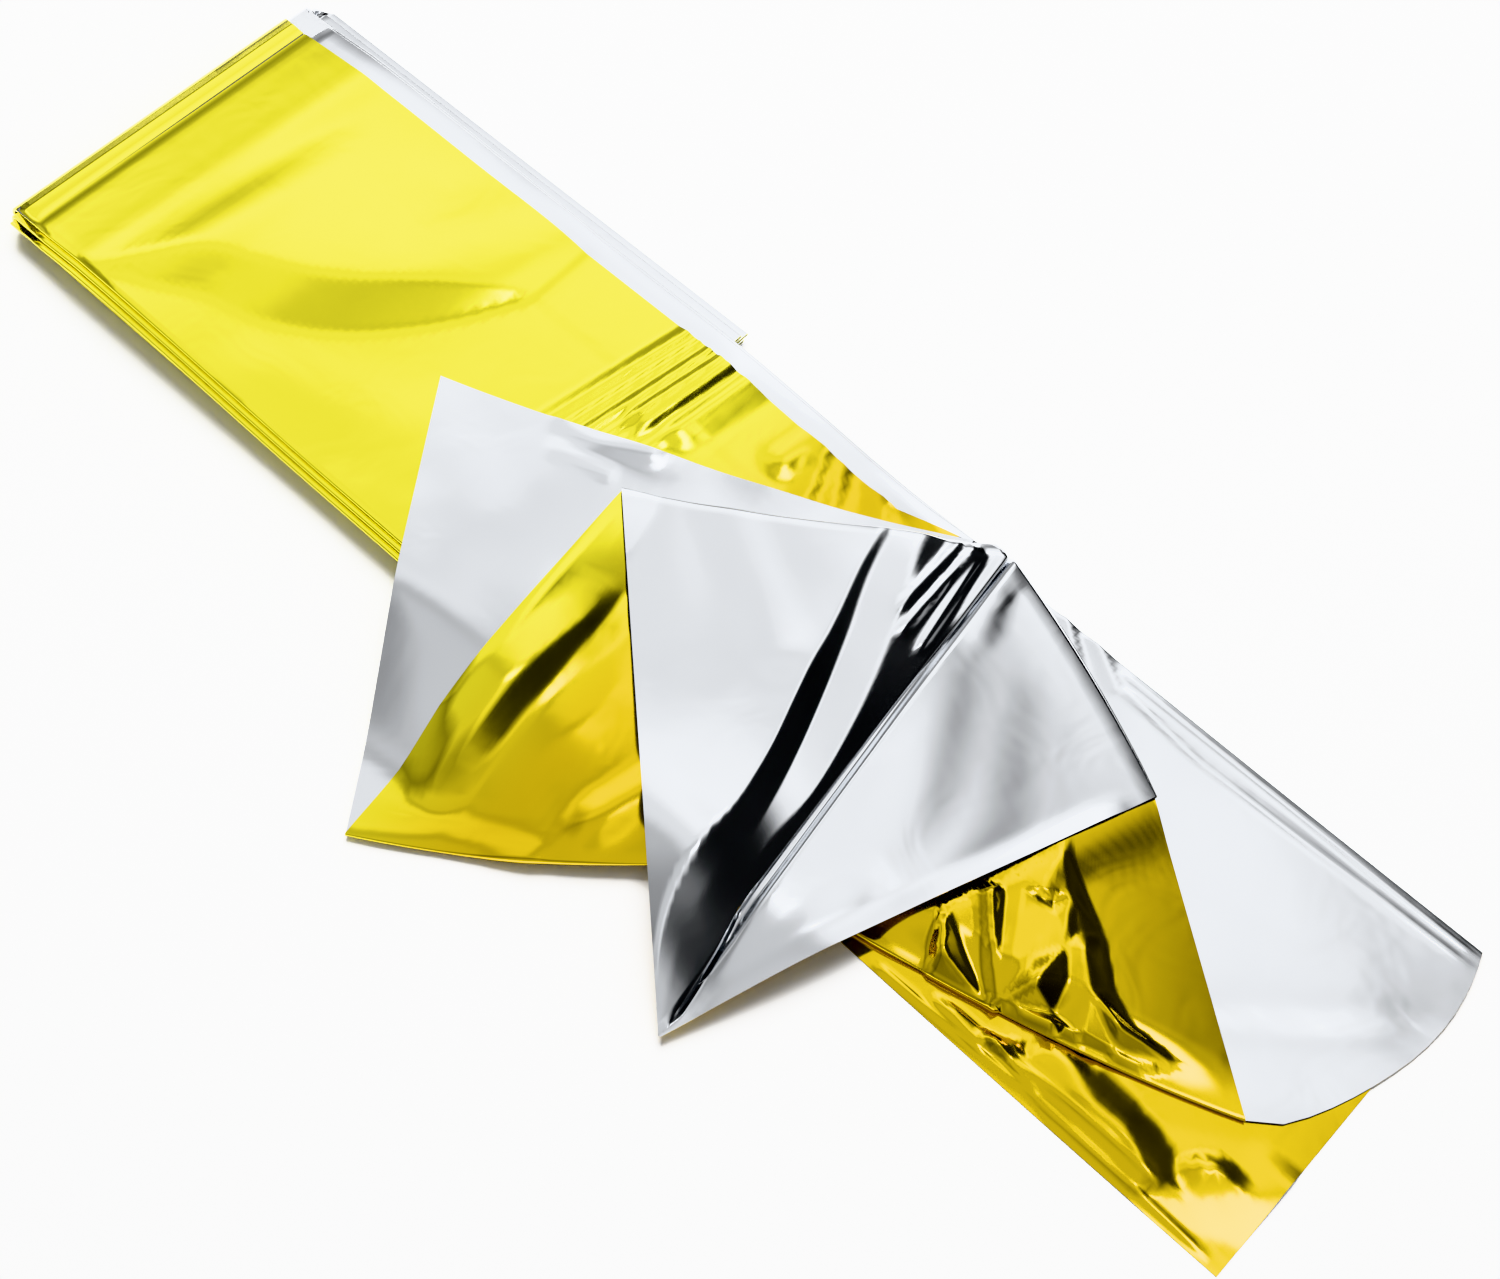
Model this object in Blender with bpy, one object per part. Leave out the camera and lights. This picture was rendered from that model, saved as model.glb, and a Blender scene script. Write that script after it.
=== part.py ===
"""Emergency foil blanket, one thin sheet folded back and forth into a strip.

The strip lies along +X. Its left end is turned under, and the right end of its top panels is turned over
along a slanting line and fanned out towards -Y. Panel 0 is the top one, and panel 6 lies on the floor. Fold
line k is where panel k starts, so fold line 0 and fold line 7 are the sheet's two free edges. Sizes are in
metres.
"""

import bpy
import numpy as np

# The film and the folded strip
FILM = 0.001
LAYER_STEP = 0.002
PANELS = 7
STRIP_WIDTH = 0.280
STRIP_LENGTH = 1.122
UNDER_LENGTH = 0.456
# Where the strip comes down from the turned-under end, and how far the loop at the left end bulges
TURN_CLEARANCE = 0.004
LOOP_RISE = 0.006
RAMP_START = 0.440
RAMP_END = 0.660
# The fanned panels rest on the strip, and sink to the floor over this reach past its near edge
FAN_REST = 0.001
FAN_REACH = 0.125
LAID_OVER = 0.040
PINCH = 0.006

# How finely the panels are divided
PANEL_STEPS = (9, 9, 12, 11, 12, 8, 6)
NOSE_ANGLES = (-50, 0, 50)
UNDER_STATIONS = (UNDER_LENGTH, 0.36, 0.24, 0.12, 0.05)
TURN_ANGLES = (-90, -55, -18, 18, 55, 90)
TOP_STATIONS = (0.045, 0.10, 0.19, 0.28, 0.37, 0.43, 0.452, 0.474, 0.50, 0.53, 0.58, 0.635)
FAN_STATIONS = (0.12, 0.26, 0.40, 0.54, 0.68, 0.80, 0.90, 1.0)

# Where each fold line runs. The first two columns are its distance past the strip's edge, along the strip and
# in the turned-under end. Even fold lines lie on the far edge and odd ones on the near edge. The other columns
# are the points (x, y) where it leaves the strip, where its fan part starts, halfway along the fan part and at
# the cut end.
FOLD_LINES = (
    # strip  under   leaves           fan start        halfway          cut end
    (-0.016, -0.010, (0.690, 0.281), (0.690, 0.281), (0.508, 0.184), (0.339, 0.115)),
    (0.004, 0.006, (0.738, 0.000), (0.739, -0.008), (0.642, -0.093), (0.542, -0.162)),
    (0.001, 0.008, (0.700, 0.284), (0.700, 0.284), (0.603, 0.205), (0.498, 0.134)),
    (0.000, 0.002, (0.761, -0.020), (0.765, -0.036), (0.776, -0.076), (0.783, -0.122)),
    (0.005, 0.015, (0.704, 0.286), (0.716, 0.286), (0.809, 0.256), (0.901, 0.218)),
    (-0.004, 0.004, (0.700, -0.002), (0.730, -0.002), (0.925, 0.046), (1.076, 0.087)),
    (0.003, 0.011, (0.705, 0.284), (0.735, 0.284), (0.925, 0.281), (STRIP_LENGTH - 0.004, 0.279)),
    (0.006, 0.008, (0.700, 0.006), (0.735, 0.006), (0.930, 0.002), (STRIP_LENGTH, 0.000)),
)

# How far right of the slanting line each panel bulges where the top three turn over, at its first and at its
# second fold line
TURN_OVER = {0: (0.0020, 0.0020), 1: (0.0040, 0.0040), 2: (0.0060, 0.0020), 3: (0.0050, 0.0030)}
# Half the width of the open valley between the third and the fourth panel
VALLEY_HALF = 0.0015
# How far panel 5's cut end bows out
CUT_END_BOW = 0.029
# How far right of the valley panel 3 stays high, and where it is down again
RIDGE_FLAT = 0.028
RIDGE_REACH = 0.130

# Soft ridges of the main folds. "stack" is the whole stack, with every panel that lies on it.
RIDGES = (
    # panel   start           end             half width  height
    ("stack", (0.474, 0.262), (0.462, 0.190), 0.018, 0.0028),
    ("stack", (0.500, 0.262), (0.492, 0.200), 0.018, 0.0024),
    ("stack", (0.560, 0.275), (0.555, 0.235), 0.018, 0.0025),
    (2, (0.688, 0.262), (0.712, 0.060), 0.036, 0.0120),
    (2, (0.640, 0.215), (0.690, 0.010), 0.030, 0.0040),
    (3, (0.735, 0.245), (0.775, -0.010), 0.030, 0.0060),
    (3, (0.800, 0.150), (0.830, 0.030), 0.040, 0.0040),
    (3, (0.850, 0.225), (0.901, 0.218), 0.060, 0.0070),
    (4, (0.880, 0.045), (0.930, 0.085), 0.022, 0.0070),
    (4, (0.960, 0.075), (0.930, 0.140), 0.024, 0.0060),
    (4, (1.000, 0.085), (1.040, 0.110), 0.030, 0.0020),
)

GOLD = (0.86, 0.70, 0.06, 1.0)


def smooth(value, start, end):
    """0 before start, 1 after end, and an even curve between."""
    part = np.clip((value - start) / (end - start), 0.0, 1.0)
    return part * part * (3 - 2 * part)


def clear_scene():
    for item in list(bpy.data.objects):
        bpy.data.objects.remove(item, do_unlink=True)


def film_material():
    material = bpy.data.materials.new("gold_film")
    material.use_nodes = True
    shader = material.node_tree.nodes["Principled BSDF"]
    shader.inputs["Base Color"].default_value = GOLD
    shader.inputs["Metallic"].default_value = 1.0
    shader.inputs["Roughness"].default_value = 0.18
    return material


def floor_level(panel):
    """Height of a panel where the strip is a single stack on the floor."""
    return FILM / 2 + (PANELS - 1 - panel) * LAYER_STEP


def turn_radius(panel):
    return TURN_CLEARANCE / 2 + (PANELS - 1 - panel) * LAYER_STEP


def turn_centre():
    return turn_radius(0), FILM / 2 + turn_radius(0)


def stack_lift(x):
    """How far the turned-under end lifts the strip above it."""
    lift = turn_centre()[1] + TURN_CLEARANCE / 2 - FILM / 2
    loop = LOOP_RISE * smooth(x, 0.015, 0.100) * (1 - smooth(x, 0.120, 0.340))
    return lift * (1 - smooth(x, RAMP_START, RAMP_END)) + loop


def ridges(panel, x, y, wider=0.0):
    """Height that the main folds add to a panel at a plan position."""
    height = 0.0
    for name, start, end, half_width, crest in RIDGES:
        if name != panel:
            continue
        start = np.array(start)
        run = np.array(end) - start
        offset = np.array((x, y)) - start
        along = np.clip(offset @ run / (run @ run), 0.0, 1.0)
        aside = np.linalg.norm(offset - along * run)
        height = max(height, crest * (1 - smooth(aside, 0.0, half_width + wider)))
    return height


def support(x, y):
    """Height of what the fanned panels lie on, falling to the floor past the strip's near edge."""
    top = floor_level(0) + stack_lift(x) + ridges("stack", x, y, LAID_OVER)
    return top + (FILM / 2 - top) * smooth(-y, 0.004, FAN_REACH)


def between(start, end, part):
    return np.asarray(start) * (1 - part) + np.asarray(end) * part


def curve_through(start, middle, end, part):
    """Point on the parabola that passes through three points."""
    start, middle, end = map(np.asarray, (start, middle, end))
    return start * (1 - part) * (1 - 2 * part) + middle * 4 * part * (1 - part) + end * part * (2 * part - 1)


def fold_point(line, row):
    """Plan position of a fold line at one row across the sheet."""
    strip_past, under_past, leaves, fan_start, halfway, cut_end = FOLD_LINES[line]
    edge = STRIP_WIDTH if line % 2 == 0 else 0.0
    strip_y = edge + strip_past
    under_y = edge + under_past
    kind, place = row
    if kind == "under":
        return np.array((place, under_y))
    if kind == "turn":
        return np.array((0.0, between(under_y, strip_y, (place + 90) / 180)))
    if kind == "top":
        return np.array((place, strip_y))
    if kind == "low":
        return np.array(leaves)
    if kind == "nose":
        return between(leaves, fan_start, 0.5)
    return curve_through(fan_start, halfway, cut_end, place)


def across_ridge(x, y):
    """Distance to the right of the ridge that runs from the gather to the valley's tip."""
    start = np.array(FOLD_LINES[4][3])
    end = np.array(FOLD_LINES[3][5])
    along = (end - start) / np.linalg.norm(end - start)
    offset = np.array((x, y)) - start
    return along[0] * offset[1] - along[1] * offset[0]


def panel_height(panel, row, part, x, y):
    """Height of a panel's middle surface at a plan position."""
    kind = row[0]
    level = floor_level(panel)
    if kind == "top":
        return level + stack_lift(x) + ridges("stack", x, y) * level / floor_level(0)
    if kind == "low" or kind == "nose" and panel > 3:
        return level
    if kind == "nose":
        middle = floor_level(0) + (FAN_REST + LAYER_STEP) / 2
        return middle - (PINCH * smooth(part, 0.6, 1.0) if panel == 3 else 0.0)
    if panel < 3:
        return support(x, y) + FAN_REST + (panel + 1) * LAYER_STEP + ridges(panel, x, y)
    if panel == 3:
        crest = support(x, y) + FAN_REST + (3 + smooth(part, 0.0, 0.12)) * LAYER_STEP
        crest -= 2 * PINCH * smooth(part, 0.7, 1.0)
        on_ridge = 1 - smooth(across_ridge(x, y), RIDGE_FLAT, RIDGE_REACH)
        foot = level - 2 * LAYER_STEP * smooth(-y, 0.004, FAN_REACH)
        return between(foot, crest, on_ridge) + ridges(panel, x, y)
    return level + ridges(panel, x, y)


def fan_shift(panel, place, part):
    """How far a fanned panel's point moves right, beside the open valley and at the bowed cut end."""
    if panel == 2:
        return -VALLEY_HALF * part
    if panel == 3:
        return VALLEY_HALF * (1 - part)
    if panel == 5:
        return CUT_END_BOW * place**4 * np.sqrt(4 * part * (1 - part))
    return 0.0


def panel_point(panel, row, part):
    """Point of a panel's middle surface, part of the way from its first fold line to its second."""
    kind, place = row
    first = fold_point(panel, row)
    second = fold_point(panel + 1, row)
    x, y = between(first, second, part)
    if kind == "under":
        return np.array((x, y, FILM / 2 + panel * LAYER_STEP))
    if kind == "turn":
        centre_x, centre_z = turn_centre()
        angle = np.radians(place)
        radius = turn_radius(panel)
        return np.array((centre_x - radius * np.cos(angle), y, centre_z + radius * np.sin(angle)))
    if kind == "nose" and panel in TURN_OVER:
        x += between(*TURN_OVER[panel], part)
    if kind == "fan":
        x += fan_shift(panel, place, part)
    return np.array((x, y, panel_height(panel, row, part, x, y)))


def nose_points(end, start, outward, open_valley):
    """Edge from the end of one panel to the start of the next, flat where the fold has opened to a valley."""
    middle = (end + start) / 2
    half = (start - end) / 2
    aside = half - outward * (half @ outward)
    bulge = 0.0 if open_valley else min(np.linalg.norm(aside), 2 * LAYER_STEP)
    angles = np.radians(NOSE_ANGLES)
    return [middle + half * np.sin(a) + outward * bulge * np.cos(a) for a in angles]


def sheet_row(row):
    """All points of the sheet across the panels, from one free edge to the other."""
    points = []
    for panel in range(PANELS):
        steps = PANEL_STEPS[panel]
        new = [panel_point(panel, row, step / steps) for step in range(steps + 1)]
        if points:
            outward = points[-1] - points[-1 - PANEL_STEPS[panel - 1]]
            outward[2] = 0.0
            outward /= np.linalg.norm(outward)
            points += nose_points(points[-1], new[0], outward, panel == 3 and row[0] == "fan")
        points += new
    return points


def all_rows():
    rows = [("under", x) for x in UNDER_STATIONS]
    rows += [("turn", angle) for angle in TURN_ANGLES]
    rows += [("top", x) for x in TOP_STATIONS]
    rows += [("low", 0.0), ("nose", 0.0), ("fan", 0.0)]
    rows += [("fan", place) for place in FAN_STATIONS]
    return rows


def build_sheet():
    rows = [sheet_row(row) for row in all_rows()]
    width = len(rows[0])
    points = [tuple(point) for row in rows for point in row]
    faces = []
    for i in range(len(rows) - 1):
        for j in range(width - 1):
            corner = i * width + j
            faces.append((corner, corner + 1, corner + width + 1, corner + width))
    mesh = bpy.data.meshes.new("blanket")
    mesh.from_pydata(points, [], faces)
    mesh.materials.append(film_material())
    blanket = bpy.data.objects.new("blanket", mesh)
    bpy.context.scene.collection.objects.link(blanket)
    return blanket


def thicken(blanket):
    solid = blanket.modifiers.new("Film", "SOLIDIFY")
    solid.thickness = FILM
    solid.offset = 0.0
    solid.use_even_offset = False


def centre_on_floor(blanket):
    """Puts the origin at the middle of the base."""
    bpy.context.view_layer.update()
    graph = bpy.context.evaluated_depsgraph_get()
    corners = np.array(blanket.evaluated_get(graph).bound_box)
    low = corners.min(axis=0)
    high = corners.max(axis=0)
    blanket.location = (-(low[0] + high[0]) / 2, -(low[1] + high[1]) / 2, -low[2])


clear_scene()
sheet = build_sheet()
thicken(sheet)
centre_on_floor(sheet)
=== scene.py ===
from math import radians

import bmesh
import bpy
import numpy as np
from mathutils import Matrix, Vector


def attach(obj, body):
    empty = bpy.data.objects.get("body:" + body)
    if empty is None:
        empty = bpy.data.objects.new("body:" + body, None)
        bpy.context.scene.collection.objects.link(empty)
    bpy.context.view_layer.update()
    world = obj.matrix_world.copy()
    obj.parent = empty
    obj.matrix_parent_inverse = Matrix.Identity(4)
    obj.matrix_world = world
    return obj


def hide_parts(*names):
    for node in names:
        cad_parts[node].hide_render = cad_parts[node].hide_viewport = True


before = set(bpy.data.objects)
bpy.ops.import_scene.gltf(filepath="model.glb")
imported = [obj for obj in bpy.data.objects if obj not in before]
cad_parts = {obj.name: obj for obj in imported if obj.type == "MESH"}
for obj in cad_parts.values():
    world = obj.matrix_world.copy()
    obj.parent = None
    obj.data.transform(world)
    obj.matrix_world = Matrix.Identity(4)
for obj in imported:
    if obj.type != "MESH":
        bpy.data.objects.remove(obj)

# The folded strip. Sizes are in metres in the strip's own frame: +X along it from the turned-under end, +Y
# across it, and the floor at Z 0. STRIP_ORIGIN is where that frame's origin lies in the row.
STRIP_ORIGIN = (-0.5664, -0.06663, 0.0)
PANELS = 7
STRIP_WIDTH = 0.280
STRIP_LENGTH = 1.122
UNDER_LENGTH = 0.456

# The heights are those of a sheet as thick as FILM, and the film that shows is only FILM_SHOWN thick
FILM = 0.001
FILM_SHOWN = 0.0003
LAYER_STEP = 0.002

# The gap inside the turned-under end, how far the strip bulges behind it, from where to where the bulge rises
# and falls, and where the strip comes down again past the turned-under end
TURN_CLEARANCE = 0.004
LOOP_RISE = 0.006
LOOP_RISES = (0.015, 0.100)
LOOP_FALLS = (0.120, 0.340)
RAMP_START = 0.440
RAMP_END = 0.660

# The fanned panels rest FAN_REST above the strip, widen its folds by LAID_OVER and sink to the floor over
# FAN_REACH past its near edge, starting NEAR_EDGE past it
FAN_REST = 0.001
FAN_REACH = 0.125
NEAR_EDGE = 0.004
LAID_OVER = 0.040

# Where each fold line runs. The first two columns are its distance past the strip's edge, along the strip
# and in the turned-under end. Even fold lines lie on the far edge and odd ones on the near edge. The other
# columns are the points (x, y) where it leaves the strip, where its fan part starts, halfway along it and at
# the cut end. The strip's own part ends at LAST_STATION.
LAST_STATION = 0.635
FOLD_LINES = (
    # strip  under   leaves           fan start        halfway          cut end
    (-0.016, -0.010, (0.690, 0.281), (0.690, 0.281), (0.508, 0.184), (0.339, 0.115)),
    (0.004, 0.006, (0.738, 0.000), (0.739, -0.008), (0.642, -0.093), (0.542, -0.162)),
    (0.001, 0.020, (0.700, 0.284), (0.700, 0.284), (0.603, 0.205), (0.498, 0.134)),
    (0.000, 0.002, (0.761, -0.020), (0.765, -0.036), (0.776, -0.076), (0.783, -0.122)),
    (0.005, 0.024, (0.704, 0.286), (0.716, 0.286), (0.809, 0.256), (0.901, 0.218)),
    (-0.004, 0.004, (0.700, -0.002), (0.730, -0.002), (0.922, 0.037), (1.076, 0.087)),
    (0.003, 0.017, (0.705, 0.284), (0.735, 0.284), (0.925, 0.281), (STRIP_LENGTH - 0.004, 0.279)),
    (0.006, 0.008, (0.700, 0.006), (0.735, 0.006), (0.930, 0.002), (STRIP_LENGTH, 0.000)),
)

# How far right of the slanting line each panel, counted from 0, bulges at its two fold lines where the top
# three turn over
TURN_OVER = {0: (0.0020, 0.0020), 1: (0.0040, 0.0040), 2: (0.0060, 0.0020), 3: (0.0050, 0.0030)}

# Half the width of the open valley between the third and the fourth panel, and how far the third panel
# reaches over the gather, which ends at COVER_END of its fan part's length
VALLEY_HALF = 0.0008
VALLEY_COVER = 0.016
COVER_END = 0.25

# How far the sixth panel's cut end bows out
CUT_END_BOW = 0.029

# The main folds, as ridges and troughs along lines in plan. "stack" is the top of the whole stack, which the
# fanned panels follow, "strip" is finer relief of the strip alone, and "pleats" is that of its top panel. A
# number is a panel, counted from 0, the top one of the strip. Panels 1 and 2 follow the folds below them too.
FOLDS = (
    # on       along                                         half width, height first and last, crest
    # ridges across the stack, where the pleats run to the far edge
    ("stack", ((0.474, 0.262), (0.462, 0.190)), 0.018, 0.0028, 0.0028, "soft"),
    ("stack", ((0.500, 0.262), (0.492, 0.200)), 0.018, 0.0024, 0.0024, "soft"),
    ("stack", ((0.560, 0.275), (0.555, 0.235)), 0.018, 0.0025, 0.0025, "soft"),
    # creases across the strip near its turned-under end, a faint fold below the dip and one at the far edge
    ("strip", ((0.027, -0.010), (0.027, 0.275)), 0.012, -0.0020, -0.0020, "sharp"),
    ("strip", ((0.088, -0.010), (0.100, 0.275)), 0.024, 0.0007, 0.0007, "soft"),
    ("strip", ((0.250, 0.030), (0.370, 0.080)), 0.050, 0.0008, 0.0004, "soft"),
    ("strip", ((0.600, 0.276), (0.680, 0.268)), 0.014, 0.0022, 0.0016, "soft"),
    # pleats of the top panel, in two groups
    ("pleats", ((0.436, 0.268), (0.410, 0.100)), 0.009, 0.0026, 0.0012, "tent"),
    ("pleats", ((0.448, 0.268), (0.424, 0.100)), 0.006, 0.0022, 0.0012, "tent"),
    ("pleats", ((0.458, 0.268), (0.438, 0.110)), 0.007, 0.0034, 0.0018, "tent"),
    ("pleats", ((0.468, 0.268), (0.450, 0.120)), 0.005, 0.0026, 0.0012, "tent"),
    ("pleats", ((0.477, 0.268), (0.464, 0.120)), 0.009, 0.0018, 0.0010, "tent"),
    ("pleats", ((0.492, 0.268), (0.480, 0.150)), 0.010, 0.0020, 0.0010, "soft"),
    ("pleats", ((0.566, 0.275), (0.588, 0.215)), 0.010, 0.0034, 0.0014, "tent"),
    ("pleats", ((0.578, 0.275), (0.606, 0.225)), 0.008, 0.0024, 0.0010, "tent"),
    ("pleats", ((0.612, 0.280), (0.640, 0.240)), 0.012, 0.0034, 0.0014, "tent"),
    # first fanned panel, silver side up
    (0, ((0.345, 0.090), (0.425, 0.064), (0.520, 0.030)), 0.040, 0.0004, 0.0008, "soft"),
    (0, ((0.425, 0.146), (0.455, 0.150), (0.492, 0.170)), 0.010, 0.0012, 0.0014, "soft"),
    (0, ((0.440, 0.128), (0.480, 0.138)), 0.009, 0.0008, 0.0010, "soft"),
    (0, ((0.400, 0.020), (0.500, -0.060)), 0.040, 0.0008, 0.0010, "soft"),
    # second fanned panel, gold side up, with its lifted cut edge first
    (1, ((0.502, 0.120), (0.516, 0.040), (0.530, -0.060)), 0.044, 0.0040, 0.0108, "tent"),
    (1, ((0.551, 0.050), (0.550, 0.020), (0.549, -0.029), (0.556, -0.090)), 0.026, 0.0030, 0.0070, "tent"),
    (1, ((0.600, 0.020), (0.598, -0.045), (0.650, -0.078)), 0.050, 0.0034, 0.0034, "tent"),
    (1, ((0.668, 0.020), (0.655, -0.050)), 0.024, 0.0030, 0.0050, "soft"),
    (1, ((0.552, -0.146), (0.587, -0.118), (0.640, -0.098)), 0.018, 0.0010, 0.0034, "soft"),
    # third fanned panel, silver side up, with the pleats at the gather first
    (2, ((0.697, 0.276), (0.706, 0.190)), 0.006, 0.0050, 0.0030, "sharp"),
    (2, ((0.688, 0.272), (0.694, 0.200)), 0.006, 0.0040, 0.0020, "sharp"),
    (2, ((0.704, 0.270), (0.722, 0.190)), 0.006, 0.0040, 0.0020, "sharp"),
    (2, ((0.520, 0.140), (0.610, 0.060), (0.670, -0.040)), 0.050, 0.0016, 0.0018, "soft"),
    (2, ((0.560, 0.172), (0.660, 0.120)), 0.030, 0.0012, 0.0016, "soft"),
    # fourth panel, with its lifted cut end last
    (3, ((0.728, 0.260), (0.744, 0.226)), 0.016, 0.0010, 0.0006, "soft"),
    (3, ((0.722, 0.272), (0.738, 0.262)), 0.006, 0.0010, 0.0008, "sharp"),
    (3, ((0.758, 0.180), (0.790, 0.115), (0.806, 0.060)), 0.030, 0.0005, 0.0004, "soft"),
    (3, ((0.786, 0.200), (0.834, 0.125), (0.842, 0.066)), 0.030, 0.0004, 0.0005, "soft"),
    (3, ((0.810, 0.020), (0.800, -0.050)), 0.018, 0.0005, 0.0005, "soft"),
    (3, ((0.790, -0.112), (0.848, 0.050), (0.892, 0.180)), 0.020, 0.0012, 0.0024, "soft"),
    # fifth to seventh panels, at the right end
    (4, ((0.800, -0.085), (0.848, 0.050), (0.904, 0.214)), 0.032, 0.0018, 0.0020, "soft"),
    (5, ((0.860, 0.262), (1.100, 0.200)), 0.050, 0.0006, 0.0004, "soft"),
    (5, ((1.020, 0.105), (1.078, 0.150), (1.122, 0.195)), 0.040, -0.0014, -0.0014, "soft"),
    (5, ((0.840, 0.268), (0.905, 0.261), (1.110, 0.266)), 0.007, 0.0009, 0.0004, "sharp"),
    (5, ((0.830, 0.278), (1.110, 0.274)), 0.005, 0.0007, 0.0005, "sharp"),
    (5, ((0.772, 0.284), (0.798, 0.262)), 0.009, 0.0018, 0.0010, "tent"),
    (5, ((0.796, 0.286), (0.830, 0.266)), 0.008, 0.0016, 0.0008, "tent"),
    (6, ((0.890, 0.016), (0.925, 0.014), (0.945, 0.026)), 0.009, 0.0020, 0.0040, "sharp"),
    (6, ((0.930, 0.020), (0.970, 0.014)), 0.007, 0.0030, 0.0010, "sharp"),
    (6, ((0.850, 0.008), (0.970, 0.010), (1.100, 0.006)), 0.005, 0.0014, 0.0010, "sharp"),
    (6, ((0.900, 0.019), (1.016, 0.022), (1.050, 0.020)), 0.005, 0.0012, 0.0008, "sharp"),
    (6, ((1.060, 0.026), (1.092, 0.043), (1.113, 0.056), (1.124, 0.085)), 0.030, 0.0016, 0.0024, "tent"),
)

# Soft dip across the strip. It rises with the slope DIP_TILT from its lower to its upper edge, and goes down
# again over DIP_TAIL past the upper one.
DIP_TILT = 0.125
DIP_TAIL = 0.19
DIP_EDGES = (
    # x    lower y  upper y
    (0.094, 0.003, 0.010),
    (0.133, 0.022, 0.069),
    (0.165, 0.041, 0.088),
    (0.223, 0.061, 0.120),
    (0.280, 0.112, 0.170),
    (0.312, 0.160, 0.196),
    (0.335, 0.209, 0.210),
)

# The third panel rises over VALLEY_TAIL and goes down in steps to the valley on its right, with a terrace
# between the first two
VALLEY_TAIL = 0.17
VALLEY_STEPS = (
    # y       first step      second  valley   heights of the first three
    (-0.122, 0.780, 0.781, 0.782, 0.783, 0.0005, 0.0003, 0.0001),
    (-0.100, 0.757, 0.768, 0.778, 0.787, 0.0100, 0.0066, 0.0032),
    (-0.060, 0.730, 0.748, 0.764, 0.779, 0.0180, 0.0115, 0.0056),
    (-0.020, 0.719, 0.739, 0.755, 0.770, 0.0205, 0.0130, 0.0062),
    (0.010, 0.717, 0.735, 0.748, 0.763, 0.0165, 0.0095, 0.0060),
    (0.055, 0.706, 0.723, 0.744, 0.755, 0.0125, 0.0060, 0.0045),
    (0.110, 0.686, 0.703, 0.730, 0.746, 0.0120, 0.0060, 0.0056),
    (0.160, 0.670, 0.682, 0.712, 0.738, 0.0120, 0.0082, 0.0074),
    (0.210, 0.652, 0.659, 0.690, 0.727, 0.0120, 0.0098, 0.0095),
    (0.262, 0.640, 0.647, 0.666, 0.710, 0.0085, 0.0080, 0.0080),
    (0.285, 0.640, 0.647, 0.666, 0.703, 0.0040, 0.0040, 0.0040),
)

# The fourth panel slopes down over RIDGE_REACH from the ridge beside the valley. Its rim there curls up by
# RIM_HEIGHT within RIM_WIDTH, less and less up to RIM_END past the strip's near edge. From the middle of its
# width on it is pinched down by up to PINCH, and it parts from the third panel over PARTING of its width.
RIDGE_REACH = 0.210
RIM_HEIGHT = 0.0060
RIM_WIDTH = 0.007
RIM_END = 0.122
PINCH = 0.007
PARTING = 0.12

# The fifth panel rises from its cut end with the slope FIFTH_TILT over FIFTH_REACH, and levels out within
# FIFTH_HEM of its fold. The last panel's folds set in over UNDER_FIFTH past that fold.
FIFTH_TILT = 0.09
FIFTH_REACH = 0.070
FIFTH_HEM = 0.035
UNDER_FIFTH = 0.012

# Crumpled facets of the fifth and the last panel: points in plan with their heights above the panel, and the
# facets between them
CRUMPLE_POINTS = {
    # name         x      y      height
    "lens top": (0.851, 0.064, 0.0020),
    "lens left": (0.873, 0.022, 0.0010),
    "lens right": (0.913, 0.034, 0.0030),
    "lens crest": (0.871, 0.038, 0.0130),
    "pleat left": (0.861, 0.084, 0.0010),
    "pleat crest": (0.866, 0.093, 0.0060),
    "pleat right": (0.870, 0.102, 0.0010),
    "knot": (0.919, 0.036, 0.0080),
    "pinch": (0.881, 0.106, 0.0030),
    "brow": (0.873, 0.118, 0.0010),
    "slit left": (0.892, 0.112, 0.0045),
    "slit right": (0.906, 0.124, 0.0030),
    "slit foot": (0.902, 0.115, 0.0005),
    "bulge": (0.907, 0.108, 0.0030),
    "cheek": (0.927, 0.095, 0.0040),
    "ear": (0.918, 0.072, 0.0060),
    "wedge": (0.928, 0.061, 0.0120),
    "star": (0.955, 0.048, 0.0125),
    "chip": (0.949, 0.058, 0.0020),
    "side": (0.940, 0.079, 0.0040),
    "fold top": (0.924, 0.107, 0.0020),
    "fold crest": (0.937, 0.101, 0.0048),
    "fold foot": (0.957, 0.083, 0.0040),
    "spur": (0.980, 0.077, 0.0080),
    "spur foot": (0.993, 0.067, 0.0020),
    "spike": (1.027, 0.087, 0.0000),
    "spike back": (0.990, 0.084, 0.0000),
    "hem": (0.969, 0.056, 0.0060),
    "hem end": (1.012, 0.068, 0.0020),
    "upper": (0.882, 0.149, 0.0000),
    "outer": (0.938, 0.118, 0.0000),
    "outer low": (0.966, 0.093, 0.0000),
    "fang root": (0.960, 0.046, 0.0030),
    "fang first": (1.001, 0.052, 0.0004),
    "fang second": (1.034, 0.048, 0.0004),
    "fang end": (1.062, 0.038, 0.0004),
    "fang back": (1.000, 0.030, 0.0058),
    "fang crest": (1.024, 0.031, 0.0060),
    "fang tip": (1.058, 0.019, 0.0036),
    "horn root": (1.074, 0.027, 0.0000),
    "horn top": (1.073, 0.053, 0.0060),
    "horn end": (1.109, 0.058, 0.0000),
    "near left": (0.946, 0.014, 0.0000),
    "near": (0.999, 0.002, 0.0004),
    "near right": (1.052, 0.001, 0.0000),
}
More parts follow.
